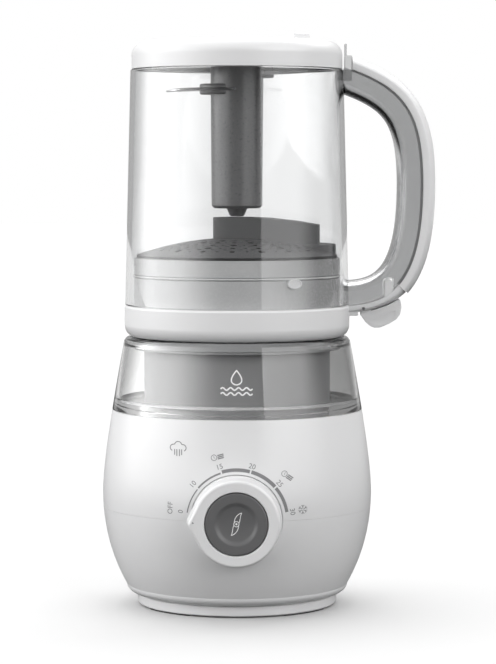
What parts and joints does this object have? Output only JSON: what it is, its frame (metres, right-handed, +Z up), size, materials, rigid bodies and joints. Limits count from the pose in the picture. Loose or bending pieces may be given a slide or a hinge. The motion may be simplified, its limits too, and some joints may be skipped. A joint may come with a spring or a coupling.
{
  "type": "baby food maker",
  "caption": "Countertop steam-and-blend food maker: a handled clear jar stands upside down on a round white base with a ring water tank and a front dial.",
  "frame": {"origin": "the middle of the bounding box's underside, on the plane of the table that the rubber pads stand on; the base's vertical axis is 17.5 mm to the left of it and 6.7 mm behind it", "axes": "+Z up, parallel to the base's axis, -Y towards the dial, +X towards the handle"},
  "size_m": [0.1846, 0.163, 0.3158],
  "materials": {
    "white_plastic": "satin",
    "clear_plastic": "polished, transparent",
    "frosted_plastic": "translucent",
    "pale_grey_plastic": "satin",
    "dark_grey_plastic": "fine matt",
    "black_plastic": "matt",
    "silicone": "matt",
    "rubber": "matt",
    "steel": "ground",
    "aluminium": "cast",
    "brass": "turned",
    "circuit_board": "coated"
  },
  "bodies": {
    "base": {"lower_shell": "white_plastic", "upper_shell": "white_plastic", "bottom_cover": "white_plastic", "dial_bezel": "white_plastic", "tank_window": "clear_plastic", "tank_core": "pale_grey_plastic", "deck": "pale_grey_plastic", "tank_gasket": "silicone", "foot_pad_1": "rubber", "foot_pad_2": "rubber", "foot_pad_3": "rubber", "foot_pad_4": "rubber", "cable_bush": "rubber", "mains_cable": "rubber", "mains_plug": "rubber", "base_screw_1": "steel", "base_screw_2": "steel", "base_screw_3": "steel", "motor_stator": "steel", "button_spring": "steel", "field_coil_left": "brass", "field_coil_right": "brass", "lower_bearing": "brass", "upper_bearing": "brass", "lower_bracket": "aluminium", "upper_bracket": "aluminium", "heating_plate": "aluminium", "brush_left": "black_plastic", "brush_right": "black_plastic", "thermal_cutout": "black_plastic", "timer_unit": "black_plastic", "blend_switch": "black_plastic", "interlock_switch": "black_plastic", "control_board": "circuit_board"},
    "motor_rotor": {"motor_shaft": "steel", "armature": "steel", "commutator": "brass", "cooling_fan": "white_plastic", "drive_coupling": "dark_grey_plastic"},
    "dial": {"dial_ring": "white_plastic", "timer_shaft": "steel"},
    "button": {"blend_button": "dark_grey_plastic"},
    "filler_plug": {"tank_cap": "white_plastic"},
    "interlock": {"interlock_pin": "dark_grey_plastic"},
    "lid": {"jar_lid": "white_plastic", "lid_collar": "frosted_plastic", "steam_duct": "frosted_plastic", "lid_seal": "silicone", "lever_pin": "steel"},
    "lever": {"lid_lever": "white_plastic"},
    "strainer_plate": {"strainer": "dark_grey_plastic"},
    "jar_body": {"jar": "clear_plastic", "handle_cover": "white_plastic", "drive_cap": "white_plastic", "spindle_seal": "silicone"},
    "blade_unit": {"blade_sleeve": "dark_grey_plastic", "blade_coupling": "dark_grey_plastic", "lower_blade": "steel", "upper_blade": "steel", "blade_spindle": "steel"}
  },
  "joints": [
    {"name": "motor_spin", "type": "hinge", "parent": "base", "child": "motor_rotor", "pos_m": [-0.01752, 0.00673, 0.0525], "axis": [0, 0, 1], "continuous": true},
    {"name": "dial_turn", "type": "hinge", "parent": "base", "child": "dial", "pos_m": [-0.01752, -0.08147, 0.0555], "axis": [0, 1, 0], "range_deg": [0, 172]},
    {"name": "button_push", "type": "slide", "parent": "base", "child": "button", "axis": [0, 1, 0], "range_m": [0, 0.0025], "stiffness_N_per_m": 400, "deforming": ["button_spring"]},
    {"name": "filler_turn", "type": "hinge", "parent": "base", "child": "filler_plug", "pos_m": [0.01388, 0.03313, 0.1467], "axis": [0, 0, 1], "range_deg": [0, 60]},
    {"name": "interlock_rise", "type": "slide", "parent": "base", "child": "interlock", "axis": [0, 0, 1], "range_m": [0, 0.0025]},
    {"name": "lid_lift", "type": "slide", "parent": "base", "child": "lid", "axis": [0, 0, 1], "range_m": [0, 0.06]},
    {"name": "lever_turn", "type": "hinge", "parent": "lid", "child": "lever", "pos_m": [0.05238, 0.00673, 0.1648], "axis": [0, 1, 0], "range_deg": [0, 22]},
    {"name": "strainer_lift", "type": "slide", "parent": "lid", "child": "strainer_plate", "axis": [0, 0, 1], "range_m": [0, 0.05]},
    {"name": "jar_lift", "type": "slide", "parent": "strainer_plate", "child": "jar_body", "axis": [0, 0, 1], "range_m": [0, 0.06]},
    {"name": "blade_spin", "type": "hinge", "parent": "jar_body", "child": "blade_unit", "pos_m": [-0.01752, 0.00673, 0.2859], "axis": [0, 0, 1], "continuous": true}
  ]
}
